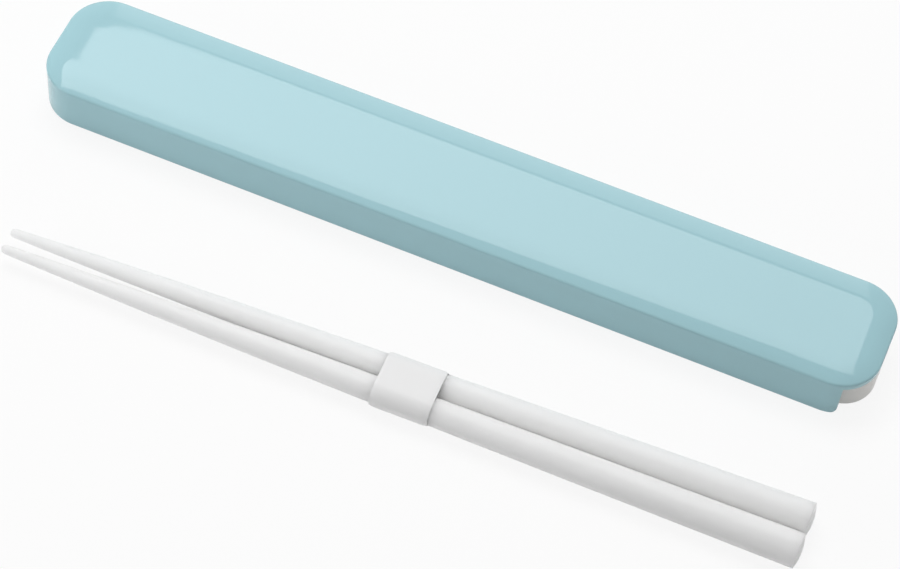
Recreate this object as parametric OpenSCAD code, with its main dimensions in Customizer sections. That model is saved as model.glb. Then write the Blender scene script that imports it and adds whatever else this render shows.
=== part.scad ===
// Portable slide case for one pair of chopsticks, with the pair lying beside it.
// X runs along the case and +X is its open end. Z is up and the table is at zero.

/* [Chopsticks] */
// Length of a chopstick
stick_l = 180; // [150:1:230]
// Diameter at the butt end
butt_d = 7.6; // [7:0.1:9]
// Diameter at the tip
tip_d = 1.9; // [1.4:0.1:3]
// Share of the taper that is a straight cone, the rest slims the tip
cone_share = 0.55; // [0.4:0.05:0.9]
// How quickly the slimming of the tip dies out along the stick
tip_power = 4; // [2:0.5:6]
// Rounding of the butt end's edge
butt_edge_r = 0.5; // [0.2:0.1:1]
// Clear space between the two sticks at their butt ends
pair_gap = 0.15; // [0.1:0.05:1]
// Distance between the axes of the sticks at their tips
tip_spacing = 4.5; // [4:0.1:6.5]

/* [Sleeve] */
// Length of the sleeve round the pair
sleeve_l = 13; // [6:0.1:25]
// Distance from the tips to the sleeve
sleeve_from_tip = 85.9; // [60:0.1:110]
// Wall of the sleeve
sleeve_wall = 0.25; // [0.2:0.05:0.8]
// Clear space between a stick and the sleeve
sleeve_gap = 0.08; // [0.05:0.01:0.3]

/* [Tray] */
// Wall and floor of the tray
tray_wall = 1.3; // [1:0.1:1.8]
// Spare length of the trough beyond the sticks
trough_spare_l = 4; // [2:0.5:12]
// Spare width of the trough beyond the pair
trough_spare_w = 2.45; // [1:0.05:6]
// Rounding of the trough's outer and inner bottom edges
trough_edge_r = 0.6; // [0.2:0.1:1]
// Rounding of the tray's rim
rim_edge_r = 0.3; // [0.1:0.1:0.4]

/* [Lid] */
// Wall and roof of the lid
lid_wall = 1.5; // [1.2:0.1:2]
// Spare height between the sticks and the roof
head_room = 1.6; // [1:0.1:4]
// Radius of the lid's corners seen from above
corner_r = 9.3; // [8.5:0.1:11.5]
// Width of the soft shoulder round the top
shoulder_w = 5.5; // [4:0.1:6]
// Fall of the shoulder from the flat top to the edge
shoulder_drop = 1.04; // [0.6:0.02:1.2]
// Rounding of the edge between shoulder and wall
top_edge_r = 0.6; // [0.3:0.1:0.8]
// Rounding of the lid's bottom edge
foot_edge_r = 0.4; // [0.1:0.1:0.6]
// Width of the rail that holds the tray
rail_w = 2; // [1.2:0.1:2.5]
// Thickness of the rail
rail_t = 1.5; // [1:0.1:2.5]
// Length of the wall cut away at the open end
cut_l = 5.6; // [4:0.1:20]
// Rounding of the lower corner beside the cut
cut_corner_r = 1.8; // [1:0.1:4]
// Thickness of the rim left above the cut
cut_rim_t = 1.56; // [0.4:0.02:2]

/* [Fits] */
// Running clearance between lid and tray
slide_gap = 0.3; // [0.2:0.05:0.6]
// Clearance between the tray and the closed end of the lid
end_gap = 0.8; // [0.2:0.1:2]
// Set-back of the tray behind the lid's open end
tray_set_back = 0.1; // [0.1:0.1:2]
// Clearance between the tray's rim and the lid above it
roof_gap = 0.4; // [0.2:0.1:1]

/* [Layout] */
// Distance from the lid's front wall to the middle of the pair at the butt ends
pair_distance = 32; // [12:0.1:60]
// Distance of the butt ends behind the open end of the case
pair_set_back = 1.3; // [-20:0.1:20]
// Turn of the pair away from the case
pair_turn = 1.13; // [0:0.01:5]

/* [Hidden] */
$fn = 96;
lid_colour = [0.72, 0.86, 0.89];
white = [0.95, 0.95, 0.94];
stick_white = [0.93, 0.93, 0.92];
// Overshoot of cutters past the faces they cut
over = 1;
stick_stations = 24;

// The trough is sized by the pair that it holds, and the case by the trough
butt_spacing = butt_d + pair_gap;
trough_in_l = stick_l + trough_spare_l;
trough_in_w = butt_spacing + butt_d + trough_spare_w;
tray_l = trough_in_l + 2 * (tray_wall + rail_w);
tray_w = trough_in_w + 2 * (tray_wall + rail_w);
case_l = lid_wall + end_gap + tray_l + tray_set_back;
case_w = tray_w + 2 * (slide_gap + lid_wall);
roof_z = tray_wall + butt_d + head_room;
case_h = roof_z + lid_wall;

// Corner centres of the lid, and the distance from them to each vertical face
lid_cx = case_l / 2 - corner_r;
lid_cy = case_w / 2 - corner_r;
lid_in_r = corner_r - lid_wall;
rail_r = lid_in_r - rail_w;
tray_r = lid_in_r - slide_gap;
trough_r = tray_r - rail_w;
tray_cx = tray_l / 2 - tray_r;
tray_cy = tray_w / 2 - tray_r;
tray_x = case_l / 2 - tray_set_back - tray_l / 2;

// Shoulder arc: tangent to the flat top, falling shoulder_drop over shoulder_w
shoulder_r = (pow(shoulder_w, 2) + pow(shoulder_drop, 2)) / (2 * shoulder_drop);
shoulder_q = corner_r - shoulder_w;
shoulder_z = case_h - shoulder_r;
edge_z = case_h - shoulder_drop;

// Wall cut away at the open end, below a rim
cut_x = case_l / 2 - cut_l;
cut_z = edge_z - cut_rim_t;

// Heights of the tray: ledge over the rail, and rim under the lowest part of the roof and of the cut's rim
ledge_z = rail_t + slide_gap;
roof_edge_z = shoulder_z + sqrt(pow(shoulder_r - lid_wall, 2) - pow(lid_in_r - shoulder_q, 2));
tray_h = min(roof_edge_z, cut_z) - roof_gap;

// Pair of sticks: horizontal axes that close in towards the tips
stick_z = butt_d / 2;
pair_x = case_l / 2 - pair_set_back;
pair_y = -case_w / 2 - pair_distance;
stick_lean = asin((butt_spacing - tip_spacing) / (2 * stick_l));
sleeve_end_t = (sleeve_from_tip + sleeve_l) / stick_l;
sleeve_bore_r = stick_d(sleeve_end_t) / 2 + sleeve_gap;
sleeve_r = sleeve_bore_r + sleeve_wall;
sleeve_half = (tip_spacing + (butt_spacing - tip_spacing) * sleeve_end_t) / 2;

// Diameter of a stick at the share t of its length from the tip
function stick_d(t) =
    tip_d + (butt_d - tip_d) * (cone_share * t + (1 - cone_share) * (1 - pow(1 - t, tip_power)));

// Keeps the part of a profile that lies outside q
module beyond(q) {
    intersection() {
        children();
        translate([q, -over]) square([case_w, case_h + 3 * over]);
    }
}

// Carries a wall profile straight along both long sides, from x0 to x1, and fills between them
module carry_straight(x0, x1, cy) {
    for (side = [0, 1])
        mirror([0, side, 0])
            translate([x0, cy, 0]) rotate([90, 0, 90]) linear_extrude(x1 - x0) beyond(-cy) children();
}

// Carries a wall profile round a rounded rectangle with corner centres at cx and cy, and fills its middle
module carry_round(cx, cy) {
    carry_straight(-cx, cx, cy) children();
    for (turn = [0, 1])
        mirror([turn, 0, 0]) {
            translate([cx, cy, 0]) rotate([90, 0, 0]) linear_extrude(2 * cy) beyond(0) children();
            for (side = [0, 1])
                mirror([0, side, 0])
                    translate([cx, cy, 0]) rotate_extrude(angle = 90) beyond(0) children();
        }
}

// What a rounding of radius r takes off a square corner, centred on the rounding
module corner_cut(r) {
    difference() {
        square(r + over);
        circle(r);
    }
}

// Rectangle from the middle out to q, with its two outer corners rounded
module wall_box(q, z0, z1, low_r, high_r) {
    difference() {
        translate([-case_w, z0]) square([case_w + q, z1 - z0]);
        if (high_r > 0) translate([q - high_r, z1 - high_r]) corner_cut(high_r);
        if (low_r > 0) translate([q - low_r, z0 + low_r]) mirror([0, 1]) corner_cut(low_r);
    }
}

// Lid section: flat top, shoulder arc and wall, inset all round by the given depth
module lid_section(inset, low_z, low_r) {
    q = corner_r - inset;
    r = shoulder_r - inset;
    e = top_edge_r;
    e_z = shoulder_z + sqrt(pow(r - e, 2) - pow(q - shoulder_q - e, 2));
    slope = atan((q - shoulder_q - e) / (e_z - shoulder_z));
    difference() {
        union() {
            wall_box(shoulder_q, low_z, shoulder_z + r, 0, 0);
            intersection() {
                wall_box(q, low_z, case_h, low_r, 0);
                translate([shoulder_q, shoulder_z]) circle(r, $fn = 720);
            }
        }
        translate([q - e, e_z]) difference() {
            polygon([[0, 0], 3 * e * [sin(slope), cos(slope)], [3 * e, 3 * e], [3 * e, 0]]);
            circle(e);
        }
    }
}

// Wall cut away at the open end, with the corner beside it rounded off
module end_cut() {
    rotate([90, 0, 0]) linear_extrude(case_w + 2 * over, center = true) {
        translate([cut_x, -over]) square([cut_l + over, cut_z + over]);
        translate([cut_x - cut_corner_r, cut_corner_r]) mirror([0, 1]) corner_cut(cut_corner_r);
    }
}

// Straight way out for the tray through the open end, below the rim
module way_out() {
    carry_straight(lid_cx, case_l / 2 + over, lid_cy) intersection() {
        lid_section(lid_wall, rail_t, 0);
        translate([-case_w, 0]) square([2 * case_w, cut_z]);
    }
    carry_straight(lid_cx, case_l / 2 + over, lid_cy) wall_box(rail_r, -over, rail_t + over, 0, 0);
}

module lid() {
    color(lid_colour) difference() {
        carry_round(lid_cx, lid_cy) lid_section(0, 0, foot_edge_r);
        carry_round(lid_cx, lid_cy) lid_section(lid_wall, rail_t, 0);
        carry_round(lid_cx, lid_cy) wall_box(rail_r, -over, rail_t + over, 0, 0);
        way_out();
        end_cut();
    }
}

module tray() {
    color(white) translate([tray_x, 0, 0]) difference() {
        union() {
            carry_round(tray_cx, tray_cy) wall_box(trough_r, 0, ledge_z + tray_wall, trough_edge_r, 0);
            carry_round(tray_cx, tray_cy) wall_box(tray_r, ledge_z, tray_h, trough_edge_r, rim_edge_r);
        }
        carry_round(tray_cx, tray_cy)
            wall_box(trough_r - tray_wall, tray_wall, tray_h + over, trough_edge_r, 0);
        carry_round(tray_cx, tray_cy)
            wall_box(tray_r - tray_wall, ledge_z + tray_wall, tray_h + over, trough_edge_r, 0);
    }
}

// Half section of a stick, tip at zero and butt at stick_l
module stick_section() {
    stations = [for (i = [0:stick_stations]) i / stick_stations];
    intersection() {
        union() {
            translate([0, tip_d / 2]) circle(tip_d / 2);
            difference() {
                polygon(concat(
                    [[0, tip_d / 2]],
                    [for (t = stations) [stick_d(t) / 2, max(t * stick_l, tip_d / 2)]],
                    [[0, stick_l]]));
                translate([butt_d / 2 - butt_edge_r, stick_l - butt_edge_r]) corner_cut(butt_edge_r);
            }
        }
        square([butt_d, stick_l]);
    }
}

// Puts a piece on the table with the middle of the butt ends at the origin and the tips towards -X
module in_pair() {
    translate([pair_x, pair_y, stick_z]) rotate([0, 0, pair_turn]) children();
}

module chopstick(side) {
    color(stick_white) in_pair()
        translate([0, side * butt_spacing / 2, 0])
            rotate([0, 0, side * stick_lean])
                translate([-stick_l, 0, 0]) rotate([0, 90, 0]) rotate_extrude() stick_section();
}

module chopstick_front() { chopstick(-1); }
module chopstick_rear() { chopstick(1); }

// Long round outline of the sleeve, with a flat foot that reaches the table
module sleeve_outline(r) {
    translate([-sleeve_half, -r]) square([2 * sleeve_half, 2 * r]);
    for (side = [-1, 1]) translate([side * sleeve_half, 0]) circle(r);
}

module chopstick_sleeve() {
    color(white) in_pair()
        translate([sleeve_from_tip - stick_l, 0, 0]) rotate([90, 0, 90]) linear_extrude(sleeve_l) difference() {
            union() {
                sleeve_outline(sleeve_r);
                translate([-sleeve_half, -stick_z]) square([2 * sleeve_half, stick_z]);
            }
            sleeve_outline(sleeve_bore_r);
        }
}

tray();
lid();
chopstick_sleeve();
chopstick_front();
chopstick_rear();
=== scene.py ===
"""Looks of a slide case for one pair of chopsticks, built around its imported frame."""

import logging
import math
from dataclasses import dataclass, field
from enum import Enum
from typing import Any, Mapping, Sequence, Union

import bmesh
import bpy
from bmesh.types import BMEdge, BMesh, BMVert
from mathutils import Matrix, Vector


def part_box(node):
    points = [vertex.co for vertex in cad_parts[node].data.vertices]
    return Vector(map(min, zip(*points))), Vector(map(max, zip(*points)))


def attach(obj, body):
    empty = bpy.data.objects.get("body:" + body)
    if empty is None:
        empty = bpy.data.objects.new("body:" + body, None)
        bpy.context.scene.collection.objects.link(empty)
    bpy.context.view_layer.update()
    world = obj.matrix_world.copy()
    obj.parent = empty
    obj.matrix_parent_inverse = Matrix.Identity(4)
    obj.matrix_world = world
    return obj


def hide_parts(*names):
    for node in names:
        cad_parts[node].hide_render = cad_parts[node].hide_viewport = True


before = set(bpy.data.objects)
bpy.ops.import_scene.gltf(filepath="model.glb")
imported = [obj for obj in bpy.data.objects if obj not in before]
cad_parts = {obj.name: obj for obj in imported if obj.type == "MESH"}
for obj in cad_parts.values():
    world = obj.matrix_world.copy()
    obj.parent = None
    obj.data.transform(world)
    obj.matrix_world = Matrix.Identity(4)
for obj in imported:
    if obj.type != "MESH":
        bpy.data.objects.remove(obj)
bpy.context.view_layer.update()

log = logging.getLogger("chopstick_case")

Colour = tuple[float, float, float]
Place = tuple[float, float, float]
Item = Union[BMVert, BMEdge]

MM = 0.001
QUARTER = math.pi / 2
HALF = math.pi
FULL = 2 * math.pi
ORIGIN: Place = (0, 0, 0)
UPRIGHT: Place = (0, 0, 1)
ACROSS: Place = (0, -1, 0)
WHITE: Colour = (1.0, 1.0, 1.0)
WELD = 0.001 * MM
NOISE_MIDDLE = 0.5


class Slot(Enum):
    """Material slots of the record."""

    TRAY = "tray_plastic"
    LID = "lid_plastic"
    SLEEVE = "sleeve_plastic"
    STICK = "stick_plastic"


class Body(Enum):
    """Bodies that move as one."""

    TRAY = "tray"
    LID = "lid"
    SLEEVE = "sleeve"
    FRONT_STICK = "front_stick"
    REAR_STICK = "rear_stick"


class Grain(Enum):
    """Skin texture of a finish, as the stretch of its pattern along X, Y and Z."""

    PEEL = (1.0, 1.0, 1.0)
    DRAWN = (0.12, 1.0, 1.0)
    WRAPPED = (1.0, 0.2, 0.2)


class Wire:
    """One output of a node, with arithmetic that adds Math nodes."""

    def __init__(self, sheet: "NodeSheet", socket: bpy.types.NodeSocket | None) -> None:
        """Keeps the sheet that the output belongs to, and the output."""
        self.sheet = sheet
        self.socket = socket

    def math(self, operation: str, first: "Value", second: "Value") -> "Wire":
        """Adds one Math node.

        Args:
            operation: Name of the Math node's operation.
            first: First value.
            second: Second value.

        Returns:
            The node's output.
        """
        return self.sheet.node("ShaderNodeMath", {"operation": operation}, {0: first, 1: second})

    def __add__(self, other: "Value") -> "Wire":
        """Sum."""
        return self.math("ADD", self, other)

    __radd__ = __add__

    def __sub__(self, other: "Value") -> "Wire":
        """Difference."""
        return self.math("SUBTRACT", self, other)

    def __rsub__(self, other: "Value") -> "Wire":
        """Difference with the wire taken away."""
        return self.math("SUBTRACT", other, self)

    def __mul__(self, other: "Value") -> "Wire":
        """Product."""
        return self.math("MULTIPLY", self, other)

    __rmul__ = __mul__

    def __or__(self, other: "Value") -> "Wire":
        """The larger of two values."""
        return self.math("MAXIMUM", self, other)


Value = Union[float, Wire]


class NodeSheet:
    """Node tree of a material or of the world."""

    MIX_FIRST = 6
    MIX_SECOND = 7
    MIX_RESULT = 2

    def __init__(self, tree: bpy.types.NodeTree) -> None:
        """Clears the tree."""
        self.tree = tree
        tree.nodes.clear()

    def node(
        self,
        kind: str,
        settings: Mapping[str, Any] | None = None,
        sockets: Mapping[Any, Any] | None = None,
        output: Any = 0,
    ) -> Wire:
        """Adds a node, sets it and wires it.

        Args:
            kind: Type of the node.
            settings: Properties of the node, set first.
            sockets: Values or wires of its inputs, by name or number.
            output: Name or number of the output that is wanted.

        Returns:
            That output, or an empty wire where the node has none.
        """
        made = self.tree.nodes.new(kind)
        for name, value in (settings or {}).items():
            setattr(made, name, value)
        for name, value in (sockets or {}).items():
            if isinstance(value, Wire):
                self.tree.links.new(value.socket, made.inputs[name])
            else:
                made.inputs[name].default_value = value
        return Wire(self, made.outputs[output] if made.outputs else None)

    def mix(self, share: Value, first: Any, second: Any) -> Wire:
        """Mixes two colours.

        Args:
            share: Share of the second colour.
            first: First colour.
            second: Second colour.

        Returns:
            The mixed colour.
        """
        return self.node(
            "ShaderNodeMix",
            {"data_type": "RGBA"},
            {"Factor": share, self.MIX_FIRST: first, self.MIX_SECOND: second},
            output=self.MIX_RESULT,
        )

    def blend(self, share: Value, first: Wire, second: Wire) -> Wire:
        """Mixes two shaders.

        Args:
            share: Share of the second shader.
            first: First shader.
            second: Second shader.

        Returns:
            The mixed shader.
        """
        return self.node("ShaderNodeMixShader", None, {0: share, 1: first, 2: second})


def opaque(colour: Colour) -> tuple[float, float, float, float]:
    """Gives a colour its alpha."""
    return (*colour, 1.0)


def blank_material(name: str) -> tuple[bpy.types.Material, NodeSheet]:
    """Makes a material whose node tree is empty.

    Args:
        name: Name of the material.

    Returns:
        The material and its node tree.
    """
    made = bpy.data.materials.new(name)
    made.use_nodes = True
    return made, NodeSheet(made.node_tree)


@dataclass(frozen=True)
class MouldedPlastic:
    """Finish of a moulded piece: drifting pigment, uneven polish and a faint skin texture."""

    name: str
    slot: Slot
    colour: Colour
    deep_colour: Colour
    roughness: float
    polish_spread: float
    grain: Grain
    grain_size: float
    grain_depth: float
    flow_size: float = 45 * MM
    polish_size: float = 9 * MM
    speck_size: float = 0.35 * MM
    speck_share: float = 0.12
    flow_detail: float = 2.0
    polish_detail: float = 3.0
    speck_detail: float = 1.0
    grain_detail: float = 2.0
    falloff: float = 0.5
    index: float = 1.49
    specular: float = 0.5
    clouding: float = 0.0
    cloud_depth: float = 1.5 * MM

    def noise(self, sheet: NodeSheet, where: Wire, size: float, detail: float) -> Wire:
        """Adds a noise whose blots have a given size.

        Args:
            sheet: Node tree.
            where: Coordinates.
            size: Size of a blot.
            detail: Octaves of finer noise.

        Returns:
            The noise, from 0 to 1.
        """
        return sheet.node(
            "ShaderNodeTexNoise",
            {"noise_dimensions": "3D"},
            {"Vector": where, "Scale": 1 / size, "Detail": detail, "Roughness": self.falloff},
        )

    def material(self) -> bpy.types.Material:
        """Makes the material.

        Returns:
            The material.
        """
        made, sheet = blank_material(self.name)
        where = sheet.node("ShaderNodeTexCoord", output="Object")
        along = sheet.node("ShaderNodeMapping", None, {"Vector": where, "Scale": self.grain.value})
        flow = self.noise(sheet, along, self.flow_size, self.flow_detail)
        speck = self.noise(sheet, where, self.speck_size, self.speck_detail)
        polish = self.noise(sheet, along, self.polish_size, self.polish_detail)
        skin = self.noise(sheet, along, self.grain_size, self.grain_detail)
        tone = flow * (1 - self.speck_share) + speck * self.speck_share
        bump = sheet.node(
            "ShaderNodeBump",
            None,
            {"Strength": 1.0, "Distance": self.grain_depth, "Height": skin},
        )
        shader = sheet.node(
            "ShaderNodeBsdfPrincipled",
            None,
            {
                "Base Color": sheet.mix(tone, opaque(self.colour), opaque(self.deep_colour)),
                "Roughness": self.roughness + (polish - NOISE_MIDDLE) * self.polish_spread,
                "IOR": self.index,
                "Specular IOR Level": self.specular,
                "Subsurface Weight": self.clouding,
                "Subsurface Radius": WHITE,
                "Subsurface Scale": self.cloud_depth,
                "Normal": bump,
            },
        )
        sheet.node("ShaderNodeOutputMaterial", None, {"Surface": shader})
        return made


LID_GLOSS = MouldedPlastic(
    name="aqua_gloss",
    slot=Slot.LID,
    colour=(0.392, 0.652, 0.712),
    deep_colour=(0.38, 0.635, 0.694),
    roughness=0.025,
    polish_spread=0.01,
    grain=Grain.PEEL,
    grain_size=1.6 * MM,
    grain_depth=0.0006 * MM,
    specular=0.326,
)
# Tray finish: the tray's own warm white, darkened in colour and deep_colour to paint in the shade
# that falls on it under the lid's overhang.
TRAY_SATIN_PAINTED_SHADE = MouldedPlastic(
    name="white_satin_painted_shade",
    slot=Slot.TRAY,
    colour=(0.765, 0.755, 0.73),
    deep_colour=(0.745, 0.735, 0.705),
    roughness=0.30,
    polish_spread=0.08,
    grain=Grain.PEEL,
    grain_size=0.9 * MM,
    grain_depth=0.001 * MM,
)
STICK_SATIN = MouldedPlastic(
    name="stick_satin",
    slot=Slot.STICK,
    colour=(0.945, 0.943, 0.935),
    deep_colour=(0.93, 0.928, 0.918),
    roughness=0.40,
    polish_spread=0.10,
    grain=Grain.DRAWN,
    grain_size=0.5 * MM,
    grain_depth=0.0015 * MM,
    specular=0.2,
    clouding=1.0,
    cloud_depth=5 * MM,
)
SLEEVE_FILM = MouldedPlastic(
    name="sleeve_film",
    slot=Slot.SLEEVE,
    colour=(0.92, 0.92, 0.92),
    deep_colour=(0.90, 0.90, 0.90),
    roughness=0.48,
    polish_spread=0.08,
    grain=Grain.WRAPPED,
    grain_size=0.6 * MM,
    grain_depth=0.001 * MM,
    specular=0.3,
)


def sweep(
    mesh: BMesh,
    items: Sequence[Item],
    centre: Sequence[float],
    axis: Place,
    angle: float,
    steps: int,
    closed: bool = False,
) -> list[Item]:
    """Spins vertices and edges about an axis.

    Args:
        mesh: Mesh that holds them.
        items: The vertices and edges.
        centre: Point on the axis.
        axis: Way of the axis.
        angle: Turn about the axis.
        steps: Number of chords.
        closed: Whether the end joins the start.

    Returns:
        The vertices and edges at the far end.
    """
    made = bmesh.ops.spin(
        mesh,
        geom=items,
        cent=centre,
        axis=axis,
        dvec=ORIGIN,
        angle=angle,
        steps=steps,
        use_merge=closed,
        use_normal_flip=False,
        use_duplicate=False,
    )
    return made["geom_last"]


class Pen:
    """Draws a wire in the XZ plane: X is the distance out and Z the height."""

    def __init__(self, mesh: BMesh, out: float, up: float) -> None:
        """Puts the pen down.

        Args:
            mesh: Mesh that takes the wire.
            out: Distance out.
            up: Height.
        """
        self.mesh = mesh
        self.known = set(mesh.edges)
        self.tip: BMVert = bmesh.ops.create_vert(mesh, co=(out, 0, up))["vert"][0]
        self.start = self.tip

    def line(self, out: float, up: float) -> "Pen":
        """Draws a straight line.

        Args:
            out: Distance out at its end.
            up: Height at its end.

        Returns:
            The pen.
        """
        made = bmesh.ops.extrude_vert_indiv(self.mesh, verts=[self.tip])
        self.tip = made["verts"][0]
        self.tip.co = (out, 0, up)
        return self

    def arc(self, out: float, up: float, angle: float, steps: int) -> "Pen":
        """Draws an arc.

        Args:
            out: Distance out of its centre.
            up: Height of its centre.
            angle: Turn about the centre, from X towards Z.
            steps: Number of chords.

        Returns:
            The pen.
        """
        made = sweep(self.mesh, [self.tip], (out, 0, up), ACROSS, angle, steps)
        self.tip = next(item for item in made if isinstance(item, BMVert))
        return self

    def close(self) -> list[BMEdge]:
        """Joins the end to the start.

        Returns:
            The edges of the wire.
        """
        bmesh.ops.contextual_create(self.mesh, geom=[self.tip, self.start])
        return self.wire()

    def wire(self) -> list[BMEdge]:
        """Gives the edges drawn since the pen was put down."""
        return [edge for edge in self.mesh.edges if edge not in self.known]


def corners_of(edges: Sequence[BMEdge]) -> list[BMVert]:
    """Gives the vertices of some edges, each once."""
    return list(dict.fromkeys(vert for edge in edges for vert in edge.verts))


def push(mesh: BMesh, edges: Sequence[BMEdge], way: Vector) -> list[BMEdge]:
    """Extrudes a wire along a straight way.

    Args:
        mesh: Mesh that holds the wire.
        edges: Edges of the wire.
        way: Way that it goes.

    Returns:
        The edges at the far end.
    """
    made = bmesh.ops.extrude_edge_only(mesh, edges=edges)["geom"]
    moved = [item for item in made if isinstance(item, BMVert)]
    bmesh.ops.translate(mesh, vec=way, verts=moved)
    ends = set(moved)
    return [item for item in made if isinstance(item, BMEdge) and set(item.verts) <= ends]


def turn(
    mesh: BMesh,
    edges: Sequence[BMEdge],
    centre: Sequence[float],
    angle: float,
    steps: int,
    closed: bool = False,
) -> list[BMEdge]:
    """Spins a wire about an upright axis.

    Args:
        mesh: Mesh that holds the wire.
        edges: Edges of the wire.
        centre: Point on the axis.
        angle: Turn, seen from above.
        steps: Number of chords.
        closed: Whether the end joins the start.

    Returns:
        The edges at the far end.
    """
    items = [*corners_of(edges), *edges]
    made = sweep(mesh, items, centre, UPRIGHT, angle, steps, closed)
    return [item for item in made if isinstance(item, BMEdge)]


@dataclass(frozen=True)
class RoundPath:
    """Way round a rectangle with round corners, given by its corner centres."""

    half_x: float
    half_y: float
    centre_x: float = 0.0
    steps: int = 28

    def carry(self, mesh: BMesh, section: Sequence[BMEdge]) -> None:
        """Carries a half section round the path and closes its two open ends with faces.

        Args:
            mesh: Mesh that holds the section, drawn by a pen.
            section: Edges of the section.
        """
        outline = corners_of(section)
        outwards = Matrix.Rotation(-QUARTER, 3, "Z")
        bmesh.ops.rotate(mesh, cent=ORIGIN, matrix=outwards, verts=outline)
        bmesh.ops.translate(mesh, vec=(-self.half_x, -self.half_y, 0), verts=outline)
        corner = Vector((-self.half_x, -self.half_y, 0))
        for side in range(4):
            length = 2 * (self.half_x, self.half_y)[side % 2]
            way = Matrix.Rotation(side * QUARTER, 3, "Z") @ Vector((length, 0, 0))
            corner = corner + way
            section = turn(mesh, push(mesh, section, way), corner, QUARTER, self.steps)
        bmesh.ops.remove_doubles(mesh, verts=mesh.verts[:], dist=WELD)
        bmesh.ops.translate(mesh, vec=(self.centre_x, 0, 0), verts=mesh.verts[:])
        close_solid(mesh)


def close_solid(mesh: BMesh) -> None:
    """Fills the open loops of a mesh and turns its faces outwards.

    Args:
        mesh: Mesh with open loops.
    """
    rims = [edge for edge in mesh.edges if edge.is_boundary]
    bmesh.ops.holes_fill(mesh, edges=rims, sides=0)
    bmesh.ops.recalc_face_normals(mesh, faces=mesh.faces[:])


def add_object(name: str, data: bpy.types.ID) -> bpy.types.Object:
    """Puts an object in the scene.

    Args:
        name: Name of the object.
        data: Its mesh, lamp or camera.

    Returns:
        The object.
    """
    made = bpy.data.objects.new(name, data)
    bpy.context.scene.collection.objects.link(made)
    return made


def piece_from(mesh: BMesh, name: str) -> bpy.types.Object:
    """Makes an object of a finished mesh.

    Args:
        mesh: The mesh, which is freed.
        name: Name of the piece.

    Returns:
        The object, in the scene.
    """
    data = bpy.data.meshes.new(name)
    mesh.to_mesh(data)
    mesh.free()
    return add_object(name, data)


def cut_away(body: bpy.types.Object, *cutters: bpy.types.Object) -> None:
    """Takes cutters out of a body for good.

    Args:
        body: Object that is cut.
        cutters: Objects that cut it, which are removed.
    """
    for cutter in cutters:
        step = body.modifiers.new(cutter.name, "BOOLEAN")
        step.operation = "DIFFERENCE"
        step.solver = "MANIFOLD"
        step.object = cutter
    shaped = body.evaluated_get(bpy.context.evaluated_depsgraph_get())
    data = bpy.data.meshes.new_from_object(shaped)
    whole = body.data
    body.modifiers.clear()
    body.data = data
    data.name = body.name
    bpy.data.meshes.remove(whole)
    for cutter in cutters:
        bpy.data.objects.remove(cutter)


def shade(piece: bpy.types.Object, sharp_angle: float = math.radians(32)) -> None:
    """Shades a piece smooth, with sharp edges kept and large faces flat.

    Args:
        piece: The piece.
        sharp_angle: Angle past which an edge stays sharp.
    """
    piece.data.shade_smooth()
    piece.data.set_sharp_from_angle(angle=sharp_angle)
    even = piece.modifiers.new("even_normals", "WEIGHTED_NORMAL")
    even.mode = "FACE_AREA"
    even.keep_sharp = True


def dress(
    piece: bpy.types.Object, finish: MouldedPlastic, body: Body, node: str
) -> bpy.types.Object:
    """Gives a piece its finish and its place in the frame.

    Args:
        piece: The piece.
        finish: Its finish.
        body: Body that it rides on.
        node: Node that it stands for.

    Returns:
        The piece.
    """
    shade(piece)
    known = bpy.data.materials.get(finish.name)
    piece.data.materials.clear()
    piece.data.materials.append(known or finish.material())
    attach(piece, body.value)
    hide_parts(node)
    return piece


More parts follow.
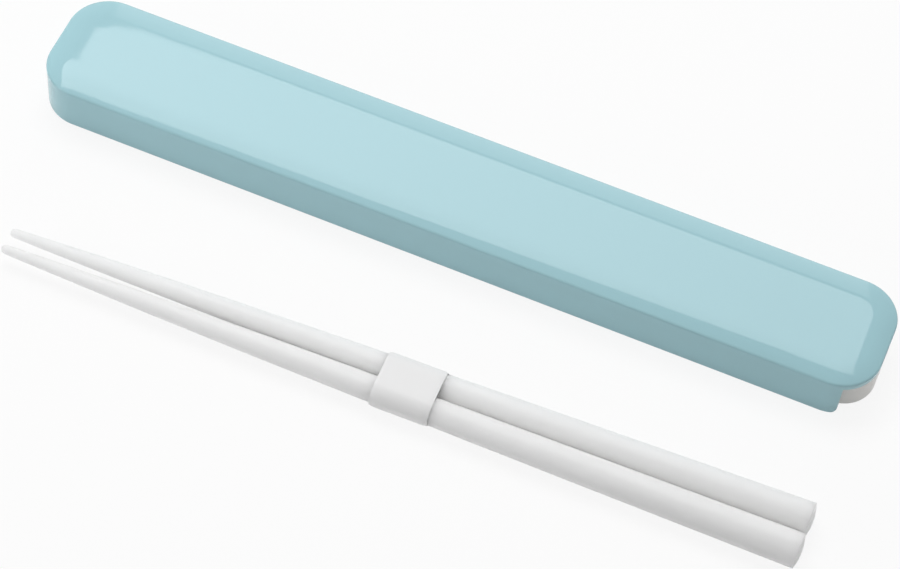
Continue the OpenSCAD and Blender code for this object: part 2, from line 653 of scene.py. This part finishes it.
@dataclass(frozen=True)
class Lid:
    """Channel lid with a soft shoulder, guide rails and one open end."""

    length: float
    width: float
    height: float
    wall: float = 1.5 * MM
    corner: float = 9.3 * MM
    shoulder_w: float = 5.5 * MM
    shoulder_drop: float = 1.04 * MM
    top_edge: float = 0.6 * MM
    foot_edge: float = 0.4 * MM
    rail_w: float = 2.0 * MM
    rail_t: float = 1.5 * MM
    out_share: float = 0.25
    cut_l: float = 5.6 * MM
    cut_corner: float = 1.8 * MM
    cut_rim: float = 1.56 * MM
    cut_edge: float = 0.12 * MM
    cut_sharp: float = QUARTER / 2
    over: float = 2.0 * MM
    hair: float = 0.005 * MM
    shoulder_steps: int = 20
    edge_steps: int = 8
    foot_steps: int = 4
    cut_steps: int = 2

    @property
    def path(self) -> RoundPath:
        """Way round the lid."""
        return RoundPath(self.length / 2 - self.corner, self.width / 2 - self.corner)

    @property
    def cut_x(self) -> float:
        """Place of the cut at the open end."""
        return self.length / 2 - self.cut_l

    @property
    def cut_z(self) -> float:
        """Height of the rim's underside."""
        return self.height - self.shoulder_drop - self.cut_rim

    def crown(self, mesh: BMesh, inset: float) -> Pen:
        """Draws the top, the shoulder and the edge of a section.

        Args:
            mesh: Mesh that takes the section.
            inset: Depth below the outer surface.

        Returns:
            The pen, at the foot of the edge.
        """
        radius = (self.shoulder_w**2 + self.shoulder_drop**2) / (2 * self.shoulder_drop)
        start = self.corner - self.shoulder_w
        low = self.height - radius
        radius = radius - inset
        reach = self.corner - inset - start - self.top_edge
        edge_z = low + math.sqrt((radius - self.top_edge) ** 2 - reach**2)
        slope = math.atan2(reach, edge_z - low)
        pen = Pen(mesh, 0, low + radius).line(start, low + radius)
        pen.arc(start, low, -slope, self.shoulder_steps)
        pen.arc(start + reach, edge_z, slope - QUARTER, self.edge_steps)
        return pen

    def block(self) -> bpy.types.Object:
        """Makes the outer form.

        Returns:
            The block.
        """
        mesh = bmesh.new()
        pen = self.crown(mesh, 0.0)
        pen.line(self.corner, self.foot_edge)
        pen.arc(self.corner - self.foot_edge, self.foot_edge, -QUARTER, self.foot_steps)
        pen.line(0, 0)
        self.path.carry(mesh, pen.wire())
        return piece_from(mesh, "lid_shell")

    def slot(self, pen: Pen, inset: float, path: RoundPath, name: str) -> bpy.types.Object:
        """Draws a hollow's side and the slot between the rails, and carries the section round.

        Args:
            pen: Pen at the top of the side.
            inset: Depth of the side below the outer surface.
            path: Way that the section goes round.
            name: Name of the cutter.

        Returns:
            The cutter.
        """
        side = self.corner - inset
        pen.line(side, self.rail_t).line(side - self.rail_w, self.rail_t)
        pen.line(side - self.rail_w, -self.over).line(0, -self.over)
        path.carry(pen.mesh, pen.wire())
        return piece_from(pen.mesh, name)

    def channel(self) -> bpy.types.Object:
        """Makes the hollow that the tray slides in."""
        return self.slot(self.crown(bmesh.new(), self.wall), self.wall, self.path, "channel")

    def way_out(self) -> bpy.types.Object:
        """Makes the straight way out for the tray, below the rim of the open end.

        Returns:
            The cutter.
        """
        reach = self.length * self.out_share
        path = RoundPath(reach, self.path.half_y, centre_x=self.length / 2 - reach + self.corner)
        inset = self.wall + self.hair
        pen = Pen(bmesh.new(), 0, self.cut_z).line(self.corner - inset, self.cut_z)
        return self.slot(pen, inset, path, "way_out")

    def end_cut(self) -> bpy.types.Object:
        """Makes the cutter of the open end, with the round corner beside it.

        Returns:
            The cutter.
        """
        mesh = bmesh.new()
        far = self.length / 2 + self.over
        pen = Pen(mesh, self.cut_x, self.cut_z)
        pen.line(self.cut_x, self.cut_corner)
        pen.arc(self.cut_x - self.cut_corner, self.cut_corner, -QUARTER, self.edge_steps)
        pen.line(self.cut_x - self.cut_corner, -self.over)
        pen.line(far, -self.over).line(far, self.cut_z)
        edges = pen.close()
        side = self.width / 2 + self.over
        bmesh.ops.translate(mesh, vec=(0, -side, 0), verts=mesh.verts[:])
        push(mesh, edges, Vector((0, 2 * side, 0)))
        close_solid(mesh)
        return piece_from(mesh, "end_cut")

    def soften_cut(self, piece: bpy.types.Object) -> None:
        """Rounds the edges that the cut leaves.

        Args:
            piece: The lid after the cuts.
        """
        mesh = bmesh.new()
        mesh.from_mesh(piece.data)
        bmesh.ops.remove_doubles(mesh, verts=mesh.verts[:], dist=self.hair * 2)
        start = self.cut_x - self.cut_corner - self.hair
        edges = [
            edge
            for edge in mesh.edges
            if edge.is_manifold
            and edge.is_convex
            and edge.calc_face_angle() > self.cut_sharp
            and all(vert.co.x > start for vert in edge.verts)
        ]
        bmesh.ops.bevel(
            mesh,
            geom=edges,
            offset=self.cut_edge,
            offset_type="OFFSET",
            affect="EDGES",
            segments=self.cut_steps,
            profile=0.5,
            material=-1,
            clamp_overlap=False,
        )
        mesh.to_mesh(piece.data)
        mesh.free()

    def build(self) -> bpy.types.Object:
        """Models the lid.

        Returns:
            The piece.
        """
        piece = self.block()
        cut_away(piece, self.channel(), self.way_out(), self.end_cut())
        self.soften_cut(piece)
        return dress(piece, LID_GLOSS, Body.LID, "lid")


@dataclass(frozen=True)
class Tray:
    """Stepped tray: a trough for the sticks with a ledge that runs over the lid's rails."""

    low: Vector
    high: Vector
    side: float = 7.5 * MM
    wall: float = 1.3 * MM
    step_w: float = 2.0 * MM
    step_z: float = 1.8 * MM
    trough_edge: float = 0.6 * MM
    rim_edge: float = 0.3 * MM
    edge_steps: int = 6

    def build(self) -> bpy.types.Object:
        """Models the tray.

        Returns:
            The piece.
        """
        mesh = bmesh.new()
        size = self.high - self.low
        rim_z = self.high.z
        trough = self.side - self.step_w
        soft, rim, steps = self.trough_edge, self.rim_edge, self.edge_steps
        inner, well = self.side - self.wall, trough - self.wall
        ledge_z = self.step_z + self.wall
        pen = Pen(mesh, 0, 0)
        pen.line(trough - soft, 0).arc(trough - soft, soft, QUARTER, steps)
        pen.line(trough, self.step_z).line(self.side - soft, self.step_z)
        pen.arc(self.side - soft, self.step_z + soft, QUARTER, steps)
        pen.line(self.side, rim_z - rim).arc(self.side - rim, rim_z - rim, QUARTER, steps)
        pen.line(inner + rim, rim_z).arc(inner + rim, rim_z - rim, QUARTER, steps)
        pen.line(inner, ledge_z + soft).arc(inner - soft, ledge_z + soft, -QUARTER, steps)
        pen.line(well + rim, ledge_z).arc(well + rim, ledge_z - rim, QUARTER, steps)
        pen.line(well, self.wall + soft).arc(well - soft, self.wall + soft, -QUARTER, steps)
        pen.line(0, self.wall)
        middle = (self.low.x + self.high.x) / 2
        path = RoundPath(size.x / 2 - self.side, size.y / 2 - self.side, centre_x=middle)
        path.carry(mesh, pen.wire())
        piece = piece_from(mesh, "tray_shell")
        return dress(piece, TRAY_SATIN_PAINTED_SHADE, Body.TRAY, "tray")


@dataclass(frozen=True)
class StickSizes:
    """Sizes of one chopstick."""

    length: float = 180 * MM
    butt: float = 7.6 * MM
    tip: float = 1.9 * MM
    cone_share: float = 0.55
    tip_power: float = 4.0
    butt_edge: float = 0.25 * MM
    butt_crown: float = 0.55 * MM

    def radius(self, share: float) -> float:
        """Gives the radius at a share of the length from the tip.

        Args:
            share: Share of the length.

        Returns:
            The radius.
        """
        slim = 1 - (1 - share) ** self.tip_power
        growth = self.cone_share * share + (1 - self.cone_share) * slim
        return (self.tip + (self.butt - self.tip) * growth) / 2


@dataclass(frozen=True)
class PairPlace:
    """Place of the loose pair beside the case."""

    case_end: float
    case_side: float
    distance: float = 32 * MM
    set_back: float = 1.3 * MM
    turn: float = math.radians(1.13)
    butt_gap: float = 0.15 * MM
    tip_spacing: float = 4.5 * MM
    stick: StickSizes = field(default_factory=StickSizes)

    @property
    def butt_spacing(self) -> float:
        """Distance between the axes at the butt ends."""
        return self.stick.butt + self.butt_gap

    @property
    def lean(self) -> float:
        """Turn of each stick towards the other."""
        return math.asin((self.butt_spacing - self.tip_spacing) / (2 * self.stick.length))

    @property
    def matrix(self) -> Matrix:
        """Place of the middle of the butt ends, with the tips towards -X."""
        end, side = self.case_end - self.set_back, self.case_side - self.distance
        middle = Matrix.Translation((end, side, self.stick.butt / 2))
        return middle @ Matrix.Rotation(self.turn, 4, "Z")

    def stick_matrix(self, side: int) -> Matrix:
        """Gives the place of a stick that is drawn upright with its tip at zero.

        Args:
            side: -1 for the front stick and 1 for the rear one.

        Returns:
            Its matrix.
        """
        apart = Matrix.Translation((0, side * self.butt_spacing / 2, 0))
        lean = Matrix.Rotation(side * self.lean, 4, "Z")
        back = Matrix.Translation((-self.stick.length, 0, 0))
        return self.matrix @ apart @ lean @ back @ Matrix.Rotation(QUARTER, 4, "Y")


@dataclass(frozen=True)
class Stick:
    """One tapered chopstick with a crowned butt end."""

    name: str
    node: str
    body: Body
    side: int
    place: PairPlace
    stations: int = 64
    crowding: float = 1.6
    tip_steps: int = 10
    edge_steps: int = 6
    crown_steps: int = 12
    sides: int = 72

    def build(self) -> bpy.types.Object:
        """Models the stick.

        Returns:
            The piece.
        """
        sizes = self.place.stick
        mesh = bmesh.new()
        tip = sizes.tip / 2
        end = sizes.length - sizes.butt_crown - sizes.butt_edge
        pen = Pen(mesh, 0, 0).arc(0, tip, QUARTER, self.tip_steps)
        for station in range(1, self.stations + 1):
            along = tip + (end - tip) * (station / self.stations) ** self.crowding
            pen.line(sizes.radius(along / sizes.length), along)
        flat = sizes.radius(end / sizes.length) - sizes.butt_edge
        crown = (flat**2 + sizes.butt_crown**2) / (2 * sizes.butt_crown)
        pen.arc(flat, end, QUARTER, self.edge_steps)
        pen.arc(0, sizes.length - crown, math.asin(flat / crown), self.crown_steps)
        turn(mesh, pen.wire(), ORIGIN, FULL, self.sides, closed=True)
        bmesh.ops.remove_doubles(mesh, verts=mesh.verts[:], dist=WELD)
        bmesh.ops.recalc_face_normals(mesh, faces=mesh.faces[:])
        bmesh.ops.transform(mesh, matrix=self.place.stick_matrix(self.side), verts=mesh.verts[:])
        piece = piece_from(mesh, self.name)
        return dress(piece, STICK_SATIN, self.body, self.node)


@dataclass(frozen=True)
class Sleeve:
    """Flat band that holds the pair together, with a wall that thins towards its ends."""

    place: PairPlace
    length: float = 13 * MM
    from_tip: float = 85.9 * MM
    wall: float = 0.25 * MM
    gap: float = 0.08 * MM
    lip: float = 0.08 * MM
    ramp: float = 0.9 * MM
    round_steps: int = 32

    def outline(
        self, mesh: BMesh, half: float, along: float, radius: float, foot: float
    ) -> list[BMEdge]:
        """Draws a long round outline.

        Args:
            mesh: Mesh that takes the outline.
            half: Half the distance between its round sides.
            along: Place along the sleeve.
            radius: Radius of its round sides.
            foot: Depth of the flat foot, or the radius for none.

        Returns:
            Its edges.
        """
        pen = Pen(mesh, -half, radius).line(half, radius).arc(half, 0, -HALF, self.round_steps)
        if foot > radius:
            pen.line(half, -foot).line(-half, -foot)
        pen.line(-half, -radius).arc(-half, 0, -HALF, self.round_steps)
        bmesh.ops.remove_doubles(mesh, verts=corners_of(pen.wire()), dist=WELD)
        drawn = pen.wire()
        bmesh.ops.translate(mesh, vec=(0, along, 0), verts=corners_of(drawn))
        return drawn

    def build(self) -> bpy.types.Object:
        """Models the sleeve.

        Returns:
            The piece.
        """
        stick = self.place.stick
        share = (self.from_tip + self.length) / stick.length
        spread = self.place.butt_spacing - self.place.tip_spacing
        half = (self.place.tip_spacing + spread * share) / 2
        bore = stick.radius(share) + self.gap
        mesh = bmesh.new()
        foot = stick.butt / 2
        rim = (bore + self.lip, foot - self.wall + self.lip)
        band = (bore + self.wall, foot)
        stations = (
            (0.0, *rim),
            (self.ramp, *band),
            (self.length - self.ramp, *band),
            (self.length, *rim),
            (self.length, bore, bore),
            (0.0, bore, bore),
        )
        loops = [self.outline(mesh, half, *station) for station in stations]
        for first, second in zip(loops, [*loops[1:], loops[0]]):
            bmesh.ops.bridge_loops(mesh, edges=[*first, *second])
        bmesh.ops.recalc_face_normals(mesh, faces=mesh.faces[:])
        along = Matrix.Rotation(-QUARTER, 4, "Z")
        start = Matrix.Translation((self.from_tip - stick.length, 0, 0))
        bmesh.ops.transform(mesh, matrix=self.place.matrix @ start @ along, verts=mesh.verts[:])
        piece = piece_from(mesh, "pair_sleeve")
        return dress(piece, SLEEVE_FILM, Body.SLEEVE, "chopstick_sleeve")


@dataclass(frozen=True)
class PhotoCamera:
    """Camera at the photograph's viewing angle, aimed at the case."""

    azimuth: float = math.radians(16.946)
    elevation: float = math.radians(56.257)
    roll: float = math.radians(6.755)
    distance: float = 650 * MM
    aim_right: float = -2.453 * MM
    aim_up: float = -14.936 * MM
    lens: float = 119.28
    sensor: float = 36.0
    clip_factor: float = 50.0

    def set_up(self) -> None:
        """Makes the camera and sets it as the scene's own."""
        flat = math.cos(self.elevation)
        back = Vector(
            (
                math.sin(self.azimuth) * flat,
                -math.cos(self.azimuth) * flat,
                math.sin(self.elevation),
            )
        )
        level = Vector((math.cos(self.azimuth), math.sin(self.azimuth), 0))
        right = Matrix.Rotation(self.roll, 3, back) @ level
        up = back.cross(right)
        data = bpy.data.cameras.new("photo_camera")
        data.lens = self.lens
        data.sensor_width = self.sensor
        data.clip_start = self.distance / self.clip_factor
        data.clip_end = self.distance * self.clip_factor
        camera = add_object("photo_camera", data)
        turned = Matrix((right, up, back)).transposed().to_4x4()
        spot = back * self.distance + right * self.aim_right + up * self.aim_up
        camera.matrix_world = Matrix.Translation(spot) @ turned
        bpy.context.scene.camera = camera


@dataclass(frozen=True)
class SoftBox:
    """Soft rectangular lamp."""

    name: str
    place: Place
    aim: Place
    width: float
    depth: float
    watts: float
    spread: float = HALF

    def hang(self) -> None:
        """Puts the lamp in the scene."""
        data = bpy.data.lights.new(self.name, "AREA")
        data.shape = "RECTANGLE"
        data.size = self.width
        data.size_y = self.depth
        data.energy = self.watts
        data.spread = self.spread
        lamp = add_object(self.name, data)
        spot = Vector(self.place)
        turned = (Vector(self.aim) - spot).to_track_quat("-Z", "Y").to_matrix().to_4x4()
        lamp.matrix_world = Matrix.Translation(spot) @ turned


@dataclass(frozen=True)
class LightPanel:
    """Level diffuser whose outline shows in the lid's gloss."""

    name: str
    height: float
    outline: tuple[tuple[float, float], ...]
    strength: float
    fade: float

    def glow(self, sheet: NodeSheet) -> Wire:
        """Makes the panel's light, which fades towards its right end.

        Args:
            sheet: Node tree of the panel's material.

        Returns:
            The colour of the light.
        """
        left, right = (pick(along for along, _ in self.outline) for pick in (min, max))
        where = sheet.node("ShaderNodeTexCoord", output="Object")
        along = sheet.node("ShaderNodeSeparateXYZ", None, {"Vector": where}, output="X")
        share = (along - left) * (1 / (right - left))
        level = 1 - self.fade
        return sheet.mix(share, opaque(WHITE), opaque((level, level, level)))

    def hang(self) -> None:
        """Puts the panel in the scene."""
        mesh = bmesh.new()
        corners: list[BMVert] = []
        for along, across in self.outline:
            corners += bmesh.ops.create_vert(mesh, co=(along, across, self.height))["vert"]
        bmesh.ops.contextual_create(mesh, geom=corners)
        panel = piece_from(mesh, self.name)
        panel.visible_camera = False
        made, sheet = blank_material(self.name)
        glow = sheet.node(
            "ShaderNodeEmission",
            None,
            {"Color": self.glow(sheet), "Strength": self.strength},
        )
        sheet.node("ShaderNodeOutputMaterial", None, {"Surface": glow})
        panel.data.materials.append(made)


@dataclass(frozen=True)
class Studio:
    """White table under soft light."""

    sky: float = 0.312
    floor_colour: Colour = (0.9, 0.9, 0.9)
    floor_white: float = 0.88
    floor_size: float = 4.0
    floor_drop: float = 0.05 * MM
    floor_cells: int = 4
    panel: LightPanel = LightPanel(
        name="overhead_panel",
        height=1.0,
        outline=(
            (-0.44, 0.704),
            (0.066, 0.72),
            (0.075, 0.685),
            (0.14, 0.626),
            (0.34, 0.24),
            (0.02, 0.27),
            (-0.22, 0.075),
            (-0.36, 0.0),
            (-0.62, -0.03),
            (-0.68, 0.4),
            (-0.66, 0.55),
            (-0.57, 0.636),
            (-0.467, 0.664),
            (-0.467, 0.696),
        ),
        strength=6.15,
        fade=0.4,
    )
    box: SoftBox = SoftBox(
        name="front_left_box",
        place=(-0.36, -0.30, 0.16),
        aim=(-0.085, -0.014, 0.0),
        width=0.3,
        depth=0.15,
        watts=0.033,
        spread=math.radians(35),
    )
    card: SoftBox = SoftBox(
        name="rear_card",
        place=(-0.24, 1.2, 0.75),
        aim=(-0.05, 0.0, 0.01),
        width=0.66,
        depth=0.9,
        watts=2.15,
    )

    @staticmethod
    def shown(sheet: NodeSheet) -> Wire:
        """Gives 1 where the white background is seen, straight on or in a gloss.

        Args:
            sheet: Node tree of the background.

        Returns:
            The mask.
        """
        paths = sheet.node("ShaderNodeLightPath", output="Is Camera Ray")
        node = paths.socket.node
        glossy = Wire(sheet, node.outputs["Is Glossy Ray"])
        through = Wire(sheet, node.outputs["Is Transmission Ray"])
        return paths | glossy | through

    def set_sky(self) -> None:
        """Makes the world: even light, seen as white."""
        world = bpy.data.worlds.new("light_tent")
        world.use_nodes = True
        bpy.context.scene.world = world
        sheet = NodeSheet(world.node_tree)
        white = opaque(WHITE)
        light = sheet.node("ShaderNodeBackground", None, {"Color": white, "Strength": self.sky})
        seen = sheet.node("ShaderNodeBackground", None, {"Color": white, "Strength": 1.0})
        both = sheet.blend(self.shown(sheet), light, seen)
        sheet.node("ShaderNodeOutputWorld", None, {"Surface": both})

    def lay_floor(self) -> None:
        """Makes the table top, which keeps the shadow of what lies on it."""
        mesh = bmesh.new()
        cells = self.floor_cells
        bmesh.ops.create_grid(mesh, x_segments=cells, y_segments=cells, size=self.floor_size / 2)
        bmesh.ops.translate(mesh, vec=(0, 0, -self.floor_drop), verts=mesh.verts[:])
        floor = piece_from(mesh, "table_top")
        made, sheet = blank_material("table_white")
        matt = sheet.node("ShaderNodeBsdfDiffuse", None, {"Color": opaque(self.floor_colour)})
        seen = sheet.node("ShaderNodeEmission", None, {"Color": opaque(WHITE), "Strength": 1.0})
        both = sheet.blend(self.shown(sheet) * self.floor_white, matt, seen)
        sheet.node("ShaderNodeOutputMaterial", None, {"Surface": both})
        floor.data.materials.append(made)

    def set_up(self) -> None:
        """Builds the whole studio."""
        bpy.context.scene.view_settings.view_transform = "Standard"
        self.set_sky()
        self.lay_floor()
        for light in (self.panel, self.box, self.card):
            light.hang()


def report(piece: bpy.types.Object, node: str) -> None:
    """Logs how far a piece's box lies from its node's box.

    Args:
        piece: The piece.
        node: The node that it stands for.
    """
    gaps = [
        abs(pick(corner[axis] for corner in piece.bound_box) - end[axis])
        for pick, end in zip((min, max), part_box(node))
        for axis in range(3)
    ]
    faces = len(piece.data.polygons)
    log.info("%s: %d faces, box within %.3f mm", piece.name, faces, max(gaps) / MM)


def main() -> None:
    """Builds the studio, the case and the pair in order."""
    logging.basicConfig(level=logging.INFO, format="%(name)s: %(message)s")
    PhotoCamera().set_up()
    Studio().set_up()
    low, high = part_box("lid")
    size = high - low
    report(Lid(length=size.x, width=size.y, height=size.z).build(), "lid")
    report(Tray(*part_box("tray")).build(), "tray")
    place = PairPlace(case_end=high.x, case_side=low.y)
    for name, body, side in (("front", Body.FRONT_STICK, -1), ("rear", Body.REAR_STICK, 1)):
        stick = Stick(f"{name}_chopstick", f"chopstick_{name}", body, side, place)
        report(stick.build(), stick.node)
    report(Sleeve(place).build(), "chopstick_sleeve")
    bpy.context.view_layer.update()


if __name__ == "__main__":
    main()
